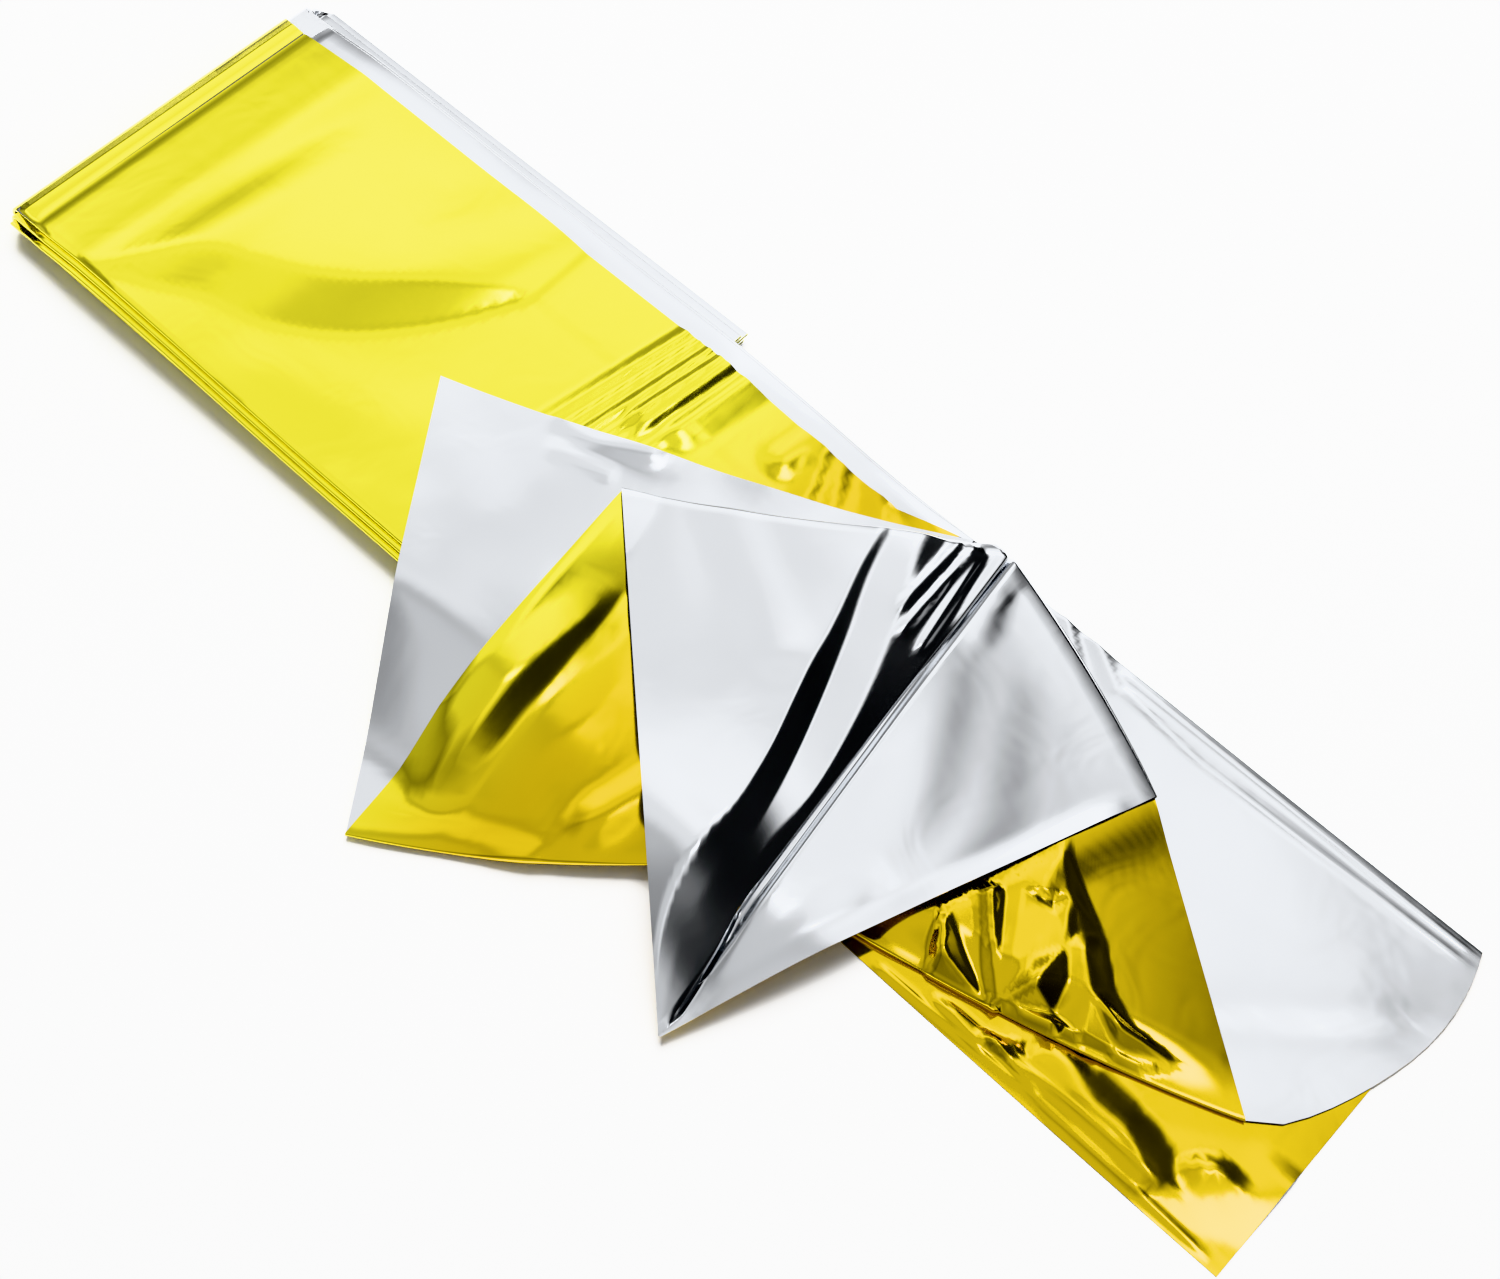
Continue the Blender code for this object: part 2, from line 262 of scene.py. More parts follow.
FIFTH_PANEL_FACETS = (
    ("lens top", "lens left", "lens crest"),
    ("lens left", "lens right", "lens crest"),
    ("lens top", "lens crest", "lens right"),
    ("lens top", "pleat left", "lens right"),
    ("pleat left", "knot", "lens right"),
    ("pleat left", "pleat crest", "knot"),
    ("pleat crest", "pleat right", "knot"),
    ("pleat right", "pinch", "knot"),
    ("pinch", "bulge", "knot"),
    ("bulge", "ear", "knot"),
    ("bulge", "cheek", "ear"),
    ("pleat right", "brow", "pinch"),
    ("brow", "upper", "slit left"),
    ("upper", "slit right", "slit left"),
    ("brow", "slit left", "pinch"),
    ("pinch", "slit left", "slit foot"),
    ("slit left", "slit right", "slit foot"),
    ("pinch", "slit foot", "bulge"),
    ("slit foot", "slit right", "bulge"),
    ("slit right", "cheek", "bulge"),
    ("slit right", "fold top", "cheek"),
    ("upper", "outer", "slit right"),
    ("slit right", "outer", "fold top"),
    ("knot", "ear", "wedge"),
    ("ear", "cheek", "wedge"),
    ("knot", "wedge", "chip"),
    ("knot", "chip", "star"),
    ("cheek", "side", "wedge"),
    ("wedge", "side", "chip"),
    ("cheek", "fold top", "fold crest"),
    ("cheek", "fold crest", "side"),
    ("fold crest", "fold foot", "side"),
    ("side", "fold foot", "chip"),
    ("chip", "fold foot", "hem"),
    ("chip", "hem", "star"),
    ("fold foot", "spur", "spur foot"),
    ("fold foot", "spur foot", "hem"),
    ("fold top", "outer", "fold crest"),
    ("fold crest", "outer", "outer low"),
    ("fold crest", "outer low", "fold foot"),
    ("fold foot", "outer low", "spike back"),
    ("fold foot", "spike back", "spur"),
    ("spur", "spike back", "spike"),
    ("spur", "spike", "spur foot"),
    ("spur foot", "spike", "hem end"),
    ("hem", "spur foot", "hem end"),
)
LAST_PANEL_FACETS = (
    ("fang root", "fang back", "fang first"),
    ("fang back", "fang second", "fang first"),
    ("fang back", "fang crest", "fang second"),
    ("fang crest", "fang end", "fang second"),
    ("fang crest", "fang tip", "fang end"),
    ("fang root", "near left", "fang back"),
    ("near left", "near", "fang back"),
    ("near", "fang crest", "fang back"),
    ("near", "near right", "fang crest"),
    ("near right", "fang tip", "fang crest"),
    ("near right", "horn root", "fang tip"),
    ("fang tip", "horn root", "fang end"),
    ("fang end", "horn root", "horn top"),
    ("horn root", "horn end", "horn top"),
)

# How finely the shown sheet is divided: the angles round a fold between two panels, the rows from the
# turned-under end to the cut end, and the columns of each panel, as shares of its width. Along the strip only
# the top panel has every row, and the others have one row in COARSE_STEP.
NOSE_ANGLES = (-70, -25, 25, 70)
UNDER_STATIONS = np.linspace(UNDER_LENGTH, 0.02, 5)
TURN_ANGLES = np.linspace(-90, 90, 11)
TOP_STATIONS = np.concatenate([
    np.linspace(0.010, 0.400, 66), np.linspace(0.4025, 0.500, 40), np.linspace(0.506, LAST_STATION, 22),
])
TO_BEND = np.linspace(0.2, 1.0, 5)
BEND_ANGLES = np.linspace(-90, 90, 9)
FAN_PLACES = np.concatenate([
    np.linspace(0.012, 0.30, 25), np.linspace(0.31, 0.86, 50), np.linspace(0.88, 1.0, 7),
])
COARSE_STEP = 6
PANEL_PARTS = (
    np.linspace(0, 1, 60),
    np.linspace(0, 1, 28),
    np.linspace(0, 1, 56),
    np.linspace(0, 1, 34),
    np.concatenate([np.linspace(0, 0.5, 12), np.linspace(0.52, 1, 40)]),
    np.concatenate([np.linspace(0, 0.84, 12), np.linspace(0.87, 1, 16)]),
    np.concatenate([np.linspace(0, 0.64, 6), np.linspace(0.68, 0.88, 12), np.linspace(0.90, 1, 16)]),
)


def smooth(value, start, end):
    """0 before start, 1 after end, and an even curve between."""
    part = np.clip((value - start) / (end - start), 0.0, 1.0)
    return part * part * (3 - 2 * part)


def slope_down(value, start, end):
    """As smooth, with an even slope over the middle half."""
    part = np.clip((value - start) / (end - start), 0.0, 1.0)
    eased = np.where(part < 0.25, 2 * part * part, part - 0.125)
    eased = np.where(part > 0.75, 0.75 - 2 * (1 - part) ** 2, eased)
    return eased / 0.75


def between(start, end, part):
    """Value or point at a share of the way from start to end."""
    return np.asarray(start) * (1 - part) + np.asarray(end) * part


def curve_through(start, middle, end, part):
    """Point on the parabola that passes through three points."""
    start, middle, end = map(np.asarray, (start, middle, end))
    return start * (1 - part) * (1 - 2 * part) + middle * 4 * part * (1 - part) + end * part * (2 * part - 1)


# Height of a fold's side, from 1 at its line to 0 at its half width
CRESTS = {
    "soft": lambda share: 1 - smooth(share, 0.0, 1.0),
    "sharp": lambda share: (1 - share) ** 2,
    "tent": lambda share: 1 - share,
}


def folds(name, x, y, wider=0.0):
    """Height that the folds of one name add at plan positions."""
    total = np.zeros_like(x)
    for on, points, half_width, first, last, crest in FOLDS:
        if on != name:
            continue
        nearest = np.full_like(x, np.inf)
        place = np.zeros_like(x)
        count = len(points) - 1
        for i in range(count):
            start_x, start_y = points[i]
            run_x = points[i + 1][0] - start_x
            run_y = points[i + 1][1] - start_y
            along = ((x - start_x) * run_x + (y - start_y) * run_y) / (run_x**2 + run_y**2)
            along = np.clip(along, 0.0, 1.0)
            aside = np.hypot(x - start_x - along * run_x, y - start_y - along * run_y)
            closer = aside < nearest
            nearest = np.where(closer, aside, nearest)
            place = np.where(closer, (i + along) / count, place)
        share = np.clip(nearest / (half_width + wider), 0.0, 1.0)
        total = total + between(first, last, place) * CRESTS[crest](share)
    return total


def flowing(value, at, levels):
    """Smooth curve through levels that are given at some places."""
    slopes = np.gradient(levels, at)
    i = np.clip(np.searchsorted(at, value) - 1, 0, len(at) - 2)
    run = at[i + 1] - at[i]
    part = np.clip((value - at[i]) / run, 0.0, 1.0)
    turn = part * (1 - part) * ((1 - part) * slopes[i] - part * slopes[i + 1])
    return between(levels[i], levels[i + 1], part * part * (3 - 2 * part)) + run * turn


def crumple(x, y, facets):
    """Height of crumpled facets at plan positions."""
    total = np.zeros_like(x)
    for names in facets:
        a, b, c = (np.array(CRUMPLE_POINTS[name]) for name in names)
        area = (b[0] - a[0]) * (c[1] - a[1]) - (c[0] - a[0]) * (b[1] - a[1])
        share_b = ((x - a[0]) * (c[1] - a[1]) - (c[0] - a[0]) * (y - a[1])) / area
        share_c = ((b[0] - a[0]) * (y - a[1]) - (x - a[0]) * (b[1] - a[1])) / area
        share_a = 1 - share_b - share_c
        inside = (share_a >= 0) & (share_b >= 0) & (share_c >= 0)
        total = np.where(inside, share_a * a[2] + share_b * b[2] + share_c * c[2], total)
    return total


def strip_dip(x, y):
    """Height that the strip gains past its soft dip."""
    at, lower, upper = np.array(DIP_EDGES).T
    low = flowing(x, at, lower)
    high = flowing(x, at, upper)
    across = np.clip((y - low) / (high - low), 0.0, 1.0)
    return DIP_TILT * (high - low) * across * (1 - smooth(y - high, 0.0, DIP_TAIL))


def valley_steps(x, y):
    """Height of the third panel above the valley on its right."""
    columns = np.array(VALLEY_STEPS).T
    curves = [flowing(y, columns[0], column) for column in columns[1:]]
    start, end, second, valley, high, terrace, low = curves
    height = high * np.clip(1 - (start - x) / VALLEY_TAIL, 0.0, 1.0)
    height = height + (terrace - high) * np.clip((x - start) / (end - start), 0.0, 1.0)
    height = height + (low - terrace) * np.clip((x - end) / (second - end), 0.0, 1.0)
    return height - low * np.clip((x - second) / (valley - second), 0.0, 1.0)


def floor_level(panel):
    """Height of a panel where the strip is a single stack on the floor."""
    return FILM / 2 + (PANELS - 1 - panel) * LAYER_STEP


def turn_radius(panel):
    """Radius of a panel where the left end is turned under."""
    return TURN_CLEARANCE / 2 + (PANELS - 1 - panel) * LAYER_STEP


def turn_centre():
    """Place (x, z) that the panels turn about at the left end."""
    return turn_radius(0), FILM / 2 + turn_radius(0)


def stack_lift(x):
    """How far the turned-under end lifts the strip above it."""
    lift = turn_centre()[1] + TURN_CLEARANCE / 2 - FILM / 2
    loop = LOOP_RISE * smooth(x, *LOOP_RISES) * (1 - smooth(x, *LOOP_FALLS))
    return lift * (1 - smooth(x, RAMP_START, RAMP_END)) + loop


def support(x, y):
    """Height of what the fanned panels lie on, falling to the floor past the strip's near edge."""
    top = floor_level(0) + stack_lift(x) + folds("stack", x, y, LAID_OVER)
    return top + (FILM / 2 - top) * slope_down(-y, NEAR_EDGE, FAN_REACH)


def fold_point(line, row):
    """Plan position of a fold line at one row across the sheet."""
    strip_past, under_past, leaves, fan_start, halfway, cut_end = FOLD_LINES[line]
    edge = STRIP_WIDTH if line % 2 == 0 else 0.0
    strip_y = edge + strip_past
    under_y = edge + under_past
    kind, place = row
    if kind == "under":
        return np.array((place, under_y))
    if kind == "turn":
        return np.array((0.0, between(under_y, strip_y, (place + 90) / 180)))
    if kind == "top":
        return np.array((place, strip_y))
    if kind == "to bend":
        return between((LAST_STATION, strip_y), leaves, place)
    if kind == "bend":
        return between(leaves, fan_start, (place + 90) / 180)
    return curve_through(fan_start, halfway, cut_end, place)


def across_ridge(x, y):
    """Distance to the right of the ridge that runs from the gather to the valley's tip."""
    start = np.array(FOLD_LINES[4][3])
    end = np.array(FOLD_LINES[3][5])
    along = (end - start) / np.linalg.norm(end - start)
    return along[0] * (y - start[1]) - along[1] * (x - start[0])


def fifth_fold_y(x):
    """Where the fold between the fifth and sixth panels runs, right of the bend."""
    points = FOLD_LINES[5][3:]
    return np.interp(x, [point[0] for point in points], [point[1] for point in points])


def fifth_tilt(x, y):
    """How far the fifth panel rises from its cut end towards the crumpled facets."""
    start = np.array(FOLD_LINES[4][5])
    end = np.array(FOLD_LINES[5][5])
    along = (end - start) / np.linalg.norm(end - start)
    inside = np.clip(along[1] * (x - start[0]) - along[0] * (y - start[1]), 0.0, FIFTH_REACH)
    return FIFTH_TILT * inside * smooth(y - fifth_fold_y(x), 0.0, FIFTH_HEM)


def fan_height(panel, part, x, y):
    """Height of a fanned panel's middle surface at plan positions."""
    level = floor_level(panel)
    if panel < 3:
        own = folds(0, x, y)
        if panel == 1:
            own = own + folds(1, x, y)
        if panel == 2:
            own = own + folds(2, x, y) + np.maximum(valley_steps(x, y), folds(1, x, y))
        return support(x, y) + FAN_REST + (panel + 1) * LAYER_STEP + own
    if panel == 3:
        crest = support(x, y) + FAN_REST + (3 + smooth(part, 0.0, PARTING)) * LAYER_STEP
        rim = RIM_HEIGHT * smooth(across_ridge(x, y), 0.0, RIM_WIDTH) * (1 - smooth(-y, 0.0, RIM_END))
        crest = crest + rim - PINCH * smooth(part, 0.5, 1.0)
        on_ridge = 1 - np.clip(across_ridge(x, y) / RIDGE_REACH, 0.0, 1.0)
        foot = level - 2 * LAYER_STEP * smooth(-y, NEAR_EDGE, FAN_REACH)
        return between(foot, crest, on_ridge) + folds(panel, x, y)
    if panel == 4:
        return level + fifth_tilt(x, y) + folds(panel, x, y) + crumple(x, y, FIFTH_PANEL_FACETS)
    if panel == 6:
        below_fold = smooth(fifth_fold_y(x) - y, 0.0, UNDER_FIFTH)
        return level + (folds(panel, x, y) + crumple(x, y, LAST_PANEL_FACETS)) * below_fold
    return level + folds(panel, x, y)


def panel_height(panel, row, part, x, y):
    """Height of a panel's middle surface at plan positions of one row."""
    kind, place = row
    level = floor_level(panel)
    if kind in ("top", "to bend"):
        relief = folds("stack", x, y) + folds("strip", x, y) + strip_dip(x, y)
        own = folds("pleats", x, y) if panel == 0 else 0.0
        return level + stack_lift(x) + relief * level / floor_level(0) + own
    if kind == "fan":
        return fan_height(panel, part, x, y)
    if panel > 3:
        return np.full_like(x, level)
    low = np.full_like(x, level)
    high = fan_height(panel, part, x, y)
    return between(low, high, (np.sin(np.radians(place)) + 1) / 2)


def fan_shift(panel, place, part):
    """How far a fanned panel's points move right, beside the open valley and at the bowed cut end."""
    if panel == 2:
        return VALLEY_COVER * (1 - part) * (1 - smooth(place, 0.0, COVER_END)) - VALLEY_HALF * part
    if panel == 3:
        return VALLEY_HALF * (1 - part)
    if panel == 5:
        bow = 4 * part * (1 - part)
        return CUT_END_BOW * place**4 * np.where(part < 0.5, np.sqrt(bow), bow)
    return 0.0


def panel_row(panel, row):
    """Points of a panel's middle surface along one row, from its first fold line to its second."""
    kind, place = row
    part = PANEL_PARTS[panel]
    first = fold_point(panel, row)
    second = fold_point(panel + 1, row)
    x = between(first[0], second[0], part)
    y = between(first[1], second[1], part)
    if kind == "under":
        return np.stack([x, y, np.full_like(x, FILM / 2 + panel * LAYER_STEP)], axis=1)
    if kind == "turn":
        centre_x, centre_z = turn_centre()
        radius = turn_radius(panel)
        x = np.full_like(x, centre_x - radius * np.cos(np.radians(place)))
        z = np.full_like(x, centre_z + radius * np.sin(np.radians(place)))
        return np.stack([x, y, z], axis=1)
    if kind == "bend" and panel in TURN_OVER:
        x = x + between(*TURN_OVER[panel], part) * np.cos(np.radians(place))
        x = x + fan_shift(panel, 0.0, part) * (np.sin(np.radians(place)) + 1) / 2
    if kind == "fan":
        x = x + fan_shift(panel, place, part)
    return np.stack([x, y, panel_height(panel, row, part, x, y)], axis=1)


def nose_points(end, start, outward, open_valley):
    """Edge from the end of one panel to the start of the next, flat where the fold has opened to a valley."""
    middle = (end + start) / 2
    half = (start - end) / 2
    aside = half - outward * (half @ outward)
    bulge = 0.0 if open_valley else min(np.linalg.norm(aside), 2 * LAYER_STEP)
    angles = np.radians(NOSE_ANGLES)
    return np.array([middle + half * np.sin(a) + outward * bulge * np.cos(a) for a in angles])


def sheet_row(row):
    """All points of the sheet across the panels, from one free edge to the other."""
    parts = [panel_row(0, row)]
    for panel in range(1, PANELS):
        previous = parts[-1]
        new = panel_row(panel, row)
        outward = previous[-1] - previous[0]
        outward[2] = 0.0
        outward = outward / np.linalg.norm(outward)
        parts.append(nose_points(previous[-1], new[0], outward, panel == 3 and row[0] == "fan"))
        parts.append(new)
    return np.concatenate(parts)


def all_rows():
    """The rows from the turned-under end to the cut end, and which of them every column has."""
    rows = [("under", x) for x in UNDER_STATIONS]
    rows += [("turn", angle) for angle in TURN_ANGLES]
    shared = list(range(len(rows)))
    first_top = len(rows)
    rows += [("top", x) for x in TOP_STATIONS]
    shared += list(range(first_top, len(rows), COARSE_STEP))
    first_bend = len(rows)
    rows += [("to bend", place) for place in TO_BEND]
    rows += [("bend", angle) for angle in BEND_ANGLES]
    rows += [("fan", place) for place in FAN_PLACES]
    shared += list(range(first_bend, len(rows)))
    return rows, shared


def sheet_mesh(bm):
    """Fills bm with the sheet. The top panel has every row, and the other columns only the shared ones."""
    rows, shared = all_rows()
    points = np.array([sheet_row(row) for row in rows]) + np.array(STRIP_ORIGIN)
    fine_columns = len(PANEL_PARTS[0])
    is_shared = set(shared)
    grid = []
    for i, line in enumerate(points):
        shown = len(line) if i in is_shared else fine_columns
        grid.append([bm.verts.new(point) for point in line[:shown]])
    for i in range(len(rows) - 1):
        for j in range(fine_columns - 1):
            bm.faces.new((grid[i][j], grid[i][j + 1], grid[i + 1][j + 1], grid[i + 1][j]))
    edge = fine_columns - 1
    for i, after in zip(shared, shared[1:]):
        inner = [grid[k][edge] for k in range(after, i - 1, -1)]
        bm.faces.new(inner + [grid[i][edge + 1], grid[after][edge + 1]])
        for j in range(edge + 1, points.shape[1] - 1):
            bm.faces.new((grid[i][j], grid[i][j + 1], grid[after][j + 1], grid[after][j]))
    for face in bm.faces:
        face.smooth = True
    for side in bm.edges:
        if len(side.link_faces) == 1:
            side.smooth = False


# Tints of the film's two sides. Along the row's X the gold turns into a deeper amber between the two places
# below. That amber is a painted reflection: it stands in for the warm light that the gold folds at the right
# end mirror, and is not the film's own colour.
GOLD = (0.95, 0.87, 0.07)
GOLD_PAINTED_AMBER_REFLECTION = (0.75, 0.54, 0.03)
SILVER = (0.72, 0.74, 0.77)
PAINTED_REFLECTION_FROM = -0.07
PAINTED_REFLECTION_TO = 0.05

# The film's finish: roughness at the clearest and the haziest places, and the noises behind its haze and its
# very small wrinkles
GOLD_ROUGHNESS = (0.08, 0.16)
SILVER_ROUGHNESS = (0.12, 0.18)
HAZE_SCALE = 7.0
HAZE_DETAIL = 3.0
HAZE_RANGE = (0.35, 0.65)
WRINKLE_SCALE = 16.0
WRINKLE_DETAIL = 2.0
WRINKLE_DISTORTION = 1.2
WRINKLE_HEIGHT = 0.001
WRINKLE_STRENGTH = 0.20


def painted_reflection_along(nodes, links, place, colour, painted_reflection_colour):
    """Socket with a colour that turns into a deeper one along X, a painted amber reflection."""
    axes = nodes.new("ShaderNodeSeparateXYZ")
    links.new(place.outputs["Object"], axes.inputs["Vector"])
    along = nodes.new("ShaderNodeMapRange")
    along.interpolation_type = "SMOOTHSTEP"
    along.inputs["From Min"].default_value = PAINTED_REFLECTION_FROM
    along.inputs["From Max"].default_value = PAINTED_REFLECTION_TO
    links.new(axes.outputs["X"], along.inputs["Value"])
    painted_reflection_mix = nodes.new("ShaderNodeMix")
    painted_reflection_mix.data_type = "RGBA"
    painted_reflection_mix.inputs["A"].default_value = (*colour, 1.0)
    painted_reflection_mix.inputs["B"].default_value = (*painted_reflection_colour, 1.0)
    links.new(along.outputs["Result"], painted_reflection_mix.inputs["Factor"])
    return painted_reflection_mix.outputs["Result"]


def film_material(name, colour, painted_reflection_colour, roughness):
    """Mirror metal with uneven haze and very small wrinkles, of one colour where no painted reflection colour
    is given, else with that painted amber reflection along X.
    """
    material = bpy.data.materials.new(name)
    material.use_nodes = True
    nodes = material.node_tree.nodes
    links = material.node_tree.links
    shader = nodes["Principled BSDF"]
    shader.inputs["Metallic"].default_value = 1.0
    place = nodes.new("ShaderNodeTexCoord")
    if painted_reflection_colour is None:
        shader.inputs["Base Color"].default_value = (*colour, 1.0)
    else:
        # Painted reflection: the gold turns amber along X, standing in for warm mirrored light
        links.new(painted_reflection_along(nodes, links, place, colour, painted_reflection_colour), shader.inputs["Base Color"])
    haze = nodes.new("ShaderNodeTexNoise")
    haze.inputs["Scale"].default_value = HAZE_SCALE
    haze.inputs["Detail"].default_value = HAZE_DETAIL
    spread = nodes.new("ShaderNodeMapRange")
    spread.inputs["From Min"].default_value = HAZE_RANGE[0]
    spread.inputs["From Max"].default_value = HAZE_RANGE[1]
    spread.inputs["To Min"].default_value = roughness[0]
    spread.inputs["To Max"].default_value = roughness[1]
    links.new(place.outputs["Object"], haze.inputs["Vector"])
    links.new(haze.outputs["Fac"], spread.inputs["Value"])
    links.new(spread.outputs["Result"], shader.inputs["Roughness"])
    wrinkles = nodes.new("ShaderNodeTexNoise")
    wrinkles.inputs["Scale"].default_value = WRINKLE_SCALE
    wrinkles.inputs["Detail"].default_value = WRINKLE_DETAIL
    wrinkles.inputs["Distortion"].default_value = WRINKLE_DISTORTION
    relief = nodes.new("ShaderNodeBump")
    relief.inputs["Strength"].default_value = WRINKLE_STRENGTH
    relief.inputs["Distance"].default_value = WRINKLE_HEIGHT
    links.new(place.outputs["Object"], wrinkles.inputs["Vector"])
    links.new(wrinkles.outputs["Fac"], relief.inputs["Height"])
    links.new(relief.outputs["Normal"], shader.inputs["Normal"])
    return material


def build_blanket():
    """The folded sheet with the film's thickness, gold on the top panel's upper side and silver below it."""
    bm = bmesh.new()
    sheet_mesh(bm)
    mesh = bpy.data.meshes.new("foil_sheet")
    bm.to_mesh(mesh)
    bm.free()
    # The gold side carries the painted amber reflection along X, and the silver side is one plain colour
    mesh.materials.append(film_material("gold_side", GOLD, GOLD_PAINTED_AMBER_REFLECTION, GOLD_ROUGHNESS))
    mesh.materials.append(film_material("silver_side", SILVER, None, SILVER_ROUGHNESS))
    blanket = bpy.data.objects.new("foil_sheet", mesh)
    bpy.context.scene.collection.objects.link(blanket)
    solid = blanket.modifiers.new("Film", "SOLIDIFY")
    solid.thickness = FILM_SHOWN
    solid.offset = 0.0
    solid.material_offset = 1
    return blanket


# Camera at the photo's viewpoint: its place in the strip's frame, its direction and roll in degrees, and its
# lens and sensor in millimetres
CAMERA_STRIP = (1.16478, -0.50368, 1.43756)
CAMERA_HEADING = 130.5115
CAMERA_DOWN = 60.1146
CAMERA_ROLL = 3.1197
CAMERA_LENS = 59.10
SENSOR_WIDTH = 36.0

# Half the floor's side, and its matt pale finish
FLOOR_HALF = 20.0
FLOOR_SHADE = 0.90
FLOOR_ROUGHNESS = 0.9
FLOOR_SPECULAR = 0.1


def heading_direction(heading, elevation):
    """Unit vector at a heading, in degrees from +X, and an elevation."""
    turn = radians(heading)
    rise = radians(elevation)
    return Vector((np.cos(turn) * np.cos(rise), np.sin(turn) * np.cos(rise), np.sin(rise)))


def add_camera():
    """Camera at the photo's viewing angle, with its small roll."""
    camera = bpy.data.objects.new("camera", bpy.data.cameras.new("camera"))
    camera.data.lens = CAMERA_LENS
    camera.data.sensor_width = SENSOR_WIDTH
    view = heading_direction(CAMERA_HEADING, -CAMERA_DOWN)
    place = Matrix.Translation(Vector(CAMERA_STRIP) + Vector(STRIP_ORIGIN))
    aim = view.to_track_quat("-Z", "Y").to_matrix().to_4x4()
    camera.matrix_world = place @ aim @ Matrix.Rotation(radians(CAMERA_ROLL), 4, "Z")
    bpy.context.scene.collection.objects.link(camera)
    bpy.context.scene.camera = camera


def add_floor():
    """Plain pale floor that the blanket lies on."""
    mesh = bpy.data.meshes.new("floor")
    corners = [(FLOOR_HALF * x, FLOOR_HALF * y, 0) for x, y in ((-1, -1), (1, -1), (1, 1), (-1, 1))]
    mesh.from_pydata(corners, [], [(0, 1, 2, 3)])
    material = bpy.data.materials.new("floor")
    material.use_nodes = True
    shader = material.node_tree.nodes["Principled BSDF"]
    shader.inputs["Base Color"].default_value = (FLOOR_SHADE, FLOOR_SHADE, FLOOR_SHADE, 1.0)
    shader.inputs["Roughness"].default_value = FLOOR_ROUGHNESS
    shader.inputs["Specular IOR Level"].default_value = FLOOR_SPECULAR
    mesh.materials.append(material)
    floor = bpy.data.objects.new("floor", mesh)
    bpy.context.scene.collection.objects.link(floor)


# Brightness of the surroundings, as shares of SKY_STRENGTH. SKY_ARC goes by the angle up from the horizon at
# CAMERA_HEADING, over the top and down on the other side. Its share is multiplied by that of SKY_SIDE, which
# goes by how far to the right of that heading a direction points.
SKY_STRENGTH = 2.5
SKY_ARC = (
    # degrees, brightness
    (0, 0.32),
    (12, 0.30),
    (24, 0.14),
    (34, 0.24),
    (41, 0.56),
    (46, 0.90),
    (54, 0.72),
    (58, 0.48),
    (61, 0.51),
    (65, 0.55),
    (69, 0.50),
    (71, 0.34),
    (74, 0.29),
    (78, 0.38),
    (95, 0.40),
    (110, 0.24),
    (125, 0.14),
    (145, 0.22),
    (165, 0.34),
    (180, 0.34),
)
SKY_SIDE = (
    # to the right, share
    (-1.00, 0.60),
    (-0.80, 0.50),
    (-0.60, 0.25),
    (-0.46, 0.56),
    (-0.36, 0.82),
    (0.08, 0.82),
    (0.13, 1.18),
    (0.23, 1.18),
    (0.265, 0.72),
    (0.31, 0.62),
    (0.33, 0.42),
    (0.345, 0.22),
    (0.37, 0.045),
    (0.42, 0.012),
    (0.76, 0.012),
    (0.88, 0.45),
    (1.00, 0.60),
)

# A soft patch that is added to them: its heading and elevation, how many degrees from its middle its edge and
# its full brightness lie, and that brightness
GLOW_HEADING = 82.4
GLOW_ELEVATION = 75.2
GLOW_EDGE = 6.0
GLOW_FULL = 3.0
GLOW_BRIGHTNESS = 2.00


def ramp_node(nodes, stops):
    """Ramp of greys through stops of (place, level)."""
    ramp = nodes.new("ShaderNodeValToRGB")
    elements = ramp.color_ramp.elements
    while len(elements) < len(stops):
        elements.new(0.5)
    for element, (place, level) in zip(elements, stops):
        element.position = place
        element.color = (level, level, level, 1.0)
    return ramp


def part_along(nodes, links, source, direction):
    """Socket with how far the source vector points in a direction."""
    product = nodes.new("ShaderNodeVectorMath")
    product.operation = "DOT_PRODUCT"
    product.inputs[1].default_value = direction
    links.new(source, product.inputs[0])
    return product.outputs["Value"]


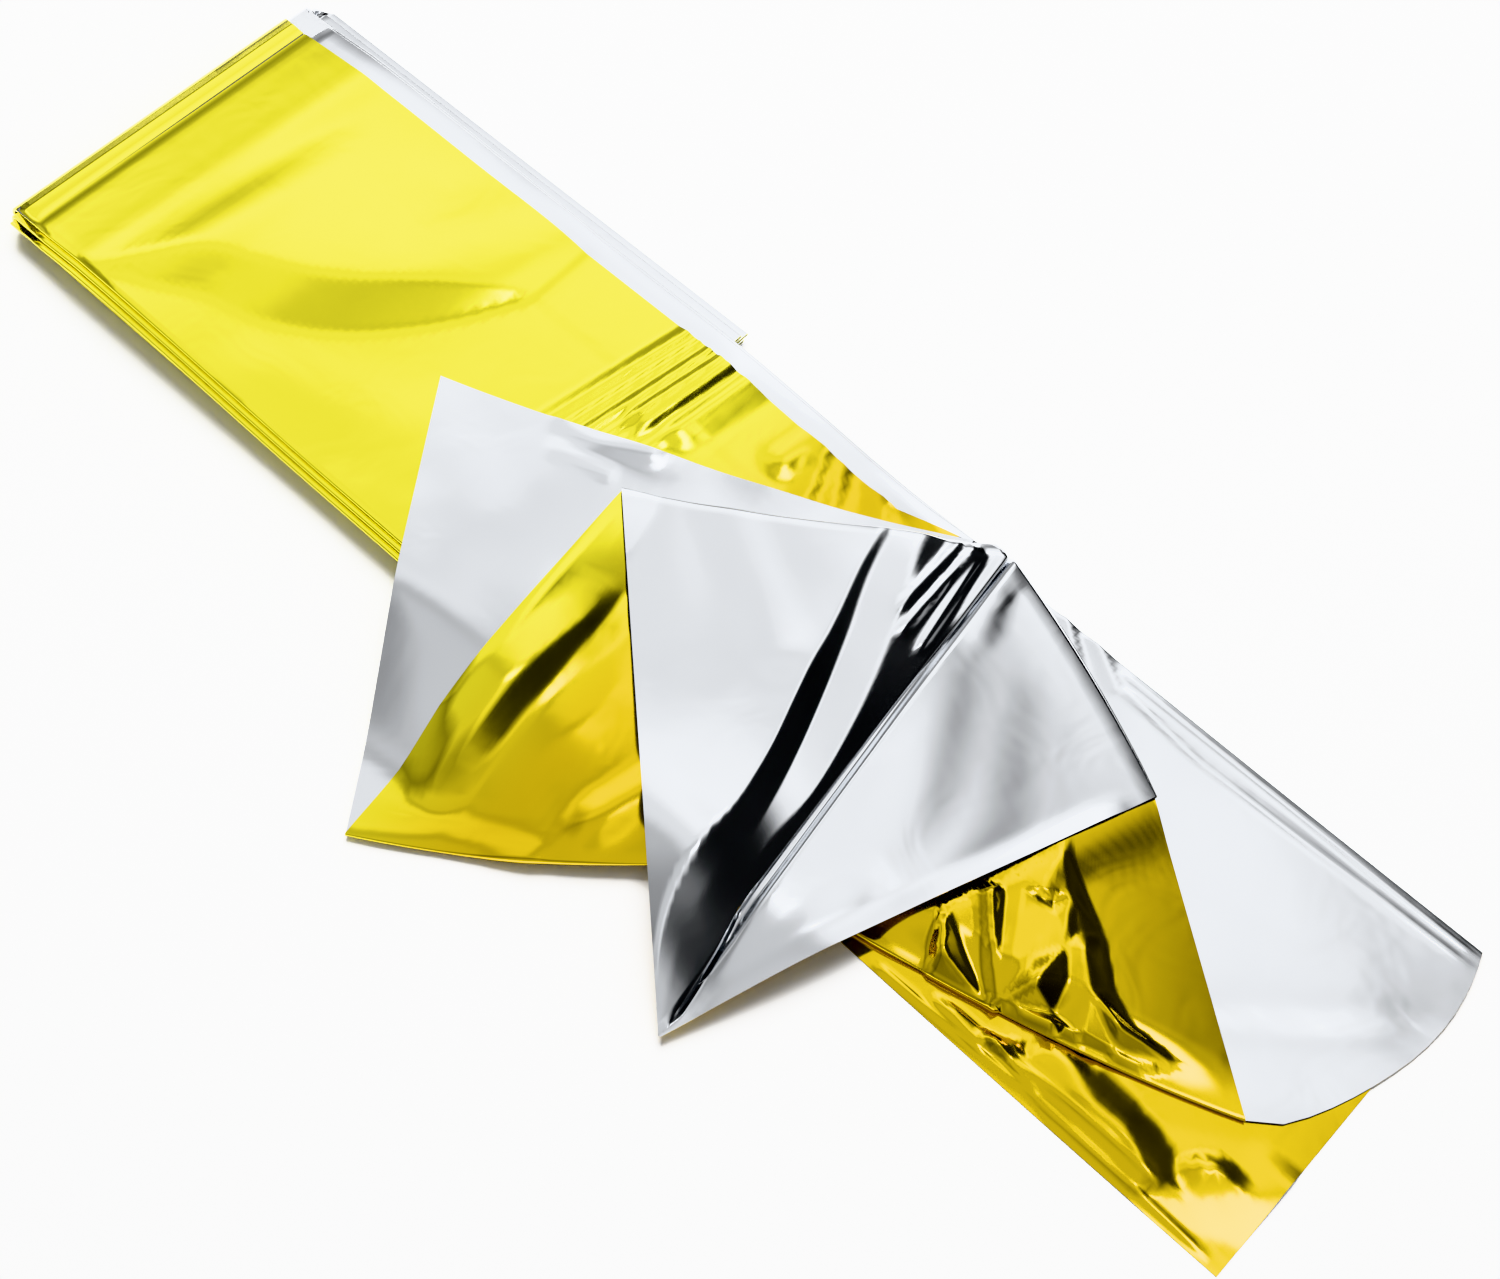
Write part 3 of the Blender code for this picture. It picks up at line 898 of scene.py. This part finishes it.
def add_world():
    """Surroundings that the film mirrors, as plain bands of brightness."""
    world = bpy.data.worlds.new("studio")
    world.use_nodes = True
    nodes = world.node_tree.nodes
    links = world.node_tree.links
    source = nodes.new("ShaderNodeTexCoord").outputs["Generated"]
    ahead = part_along(nodes, links, source, heading_direction(CAMERA_HEADING, 0))
    right = part_along(nodes, links, source, heading_direction(CAMERA_HEADING - 90, 0))
    up = part_along(nodes, links, source, (0, 0, 1))
    arc = nodes.new("ShaderNodeMath")
    arc.operation = "ARCTAN2"
    links.new(up, arc.inputs[0])
    links.new(ahead, arc.inputs[1])
    arc_share = nodes.new("ShaderNodeMapRange")
    arc_share.inputs["From Max"].default_value = radians(180)
    links.new(arc.outputs["Value"], arc_share.inputs["Value"])
    arc_ramp = ramp_node(nodes, [(angle / 180, level) for angle, level in SKY_ARC])
    links.new(arc_share.outputs["Result"], arc_ramp.inputs["Fac"])
    side_share = nodes.new("ShaderNodeMapRange")
    side_share.inputs["From Min"].default_value = -1.0
    links.new(right, side_share.inputs["Value"])
    side_ramp = ramp_node(nodes, [((side + 1) / 2, share) for side, share in SKY_SIDE])
    links.new(side_share.outputs["Result"], side_ramp.inputs["Fac"])
    sky = nodes.new("ShaderNodeVectorMath")
    sky.operation = "MULTIPLY"
    links.new(arc_ramp.outputs["Color"], sky.inputs[0])
    links.new(side_ramp.outputs["Color"], sky.inputs[1])
    towards = heading_direction(GLOW_HEADING, GLOW_ELEVATION)
    glow = nodes.new("ShaderNodeMapRange")
    glow.interpolation_type = "SMOOTHSTEP"
    glow.inputs["From Min"].default_value = np.cos(radians(GLOW_EDGE))
    glow.inputs["From Max"].default_value = np.cos(radians(GLOW_FULL))
    glow.inputs["To Max"].default_value = GLOW_BRIGHTNESS
    links.new(part_along(nodes, links, source, towards), glow.inputs["Value"])
    total = nodes.new("ShaderNodeVectorMath")
    total.operation = "ADD"
    links.new(sky.outputs["Vector"], total.inputs[0])
    links.new(glow.outputs["Result"], total.inputs[1])
    background = nodes["Background"]
    background.inputs["Strength"].default_value = SKY_STRENGTH
    links.new(total.outputs["Vector"], background.inputs["Color"])
    bpy.context.scene.world = world


# Key light: its place in the row's frame, its side in metres and its power in watts
KEY_PLACE = (-1.0, 1.4, 2.8)
KEY_SIZE = 2.2
KEY_POWER = 330.0


def add_key_light():
    """Soft square light that shines on the origin and that the film doesn't mirror."""
    light = bpy.data.lights.new("soft_key", "AREA")
    light.size = KEY_SIZE
    light.energy = KEY_POWER
    lamp = bpy.data.objects.new("soft_key", light)
    lamp.location = KEY_PLACE
    lamp.visible_glossy = False
    lamp.rotation_euler = (-Vector(KEY_PLACE)).to_track_quat("-Z", "Y").to_euler()
    bpy.context.scene.collection.objects.link(lamp)


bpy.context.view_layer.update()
foil = build_blanket()
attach(foil, "root")
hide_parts("blanket")
add_camera()
add_floor()
add_world()
add_key_light()
bpy.context.scene.view_settings.view_transform = "Khronos PBR Neutral"
